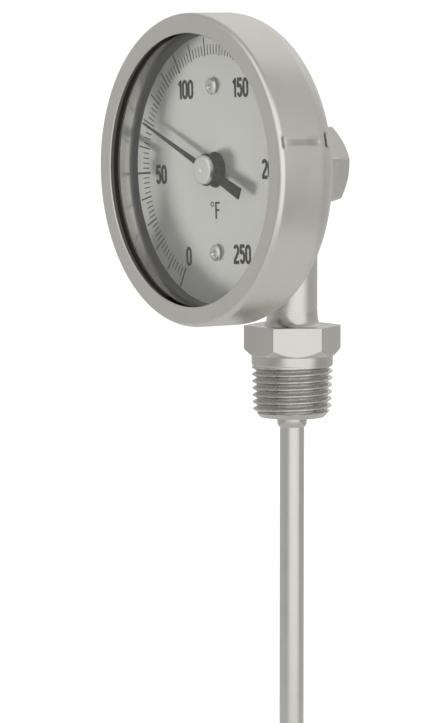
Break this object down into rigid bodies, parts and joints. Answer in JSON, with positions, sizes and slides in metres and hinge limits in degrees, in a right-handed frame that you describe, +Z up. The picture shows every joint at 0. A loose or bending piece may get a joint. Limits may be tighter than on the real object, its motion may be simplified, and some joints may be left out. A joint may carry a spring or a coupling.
{
  "type": "dial thermometer",
  "caption": "Lower-mount bimetal dial thermometer: round glazed case on an elbow, hex taper-thread fitting and slim probe stem, with turning pointer.",
  "frame": {"origin": "on the stem axis at the underside of the wrench hexagon, where the taper thread's neck begins", "axes": "+Z up along the stem axis towards the case, -Y out of the dial towards the reader, +X to the reader's right"},
  "size_m": [0.0804, 0.0453, 0.258],
  "materials": {
    "fitting_steel": "machined stainless",
    "stem_steel": "satin ground stainless",
    "tube_steel": "satin stainless",
    "case_steel": "fine satin stainless",
    "polished_steel": "polished stainless",
    "shaft_steel": "drawn steel",
    "screw_steel": "plated",
    "bearing_brass": "turned brass",
    "bimetal": "rolled strip",
    "black_rubber": "matt moulded rubber",
    "window": "clear flat glass",
    "dial_white": "matt white enamel",
    "pointer_black": "satin black paint",
    "hub_silver": "turned"
  },
  "bodies": {
    "stem": {"process_connection": "fitting_steel", "stem_tube": "stem_steel", "stem_tip_plug": "stem_steel", "bimetal_coil": "bimetal", "shaft_guide_top": "bearing_brass", "shaft_guide_mid": "bearing_brass", "shaft_guide_low": "bearing_brass", "riser_tube": "tube_steel", "elbow_body": "tube_steel", "rear_hex_cap": "fitting_steel", "cap_seal": "black_rubber", "case_seal": "black_rubber", "wave_washer": "shaft_steel", "retaining_nut": "bearing_brass", "pointer_bearing": "bearing_brass", "flexible_coupling": "shaft_steel"},
    "head": {"bezel_ring": "case_steel", "case_cup": "case_steel", "window_gasket": "black_rubber", "window_glass": "window", "spacer_ring": "polished_steel", "dial_plate": "dial_white", "dial_screws": "screw_steel", "dial_posts": "shaft_steel"},
    "pointer": {"pointer_blade": "pointer_black", "pointer_hub": "hub_silver", "pointer_collar": "bearing_brass", "pointer_shaft": "shaft_steel"},
    "shaft": {"stem_shaft": "shaft_steel", "coil_hub": "bearing_brass"}
  },
  "joints": [
    {"name": "pointer_turn", "type": "hinge", "parent": "stem", "child": "pointer", "pos_m": [0, -0.02, 0.0492], "axis": [0, 1, 0], "range_deg": [-84, 216], "stiffness_Nm_per_rad": 0.0005},
    {"name": "shaft_turn", "type": "hinge", "parent": "stem", "child": "shaft", "pos_m": [0, 0, -0.05], "axis": [0, 0, 1], "range_deg": [-216, 84]},
    {"name": "case_reset", "type": "hinge", "parent": "stem", "child": "head", "pos_m": [0, -0.018, 0.0492], "axis": [0, 1, 0], "range_deg": [-7.5, 12.5]}
  ],
  "couplings": [
    {"joint": "shaft_turn", "follows": "pointer_turn", "ratio": -1}
  ]
}
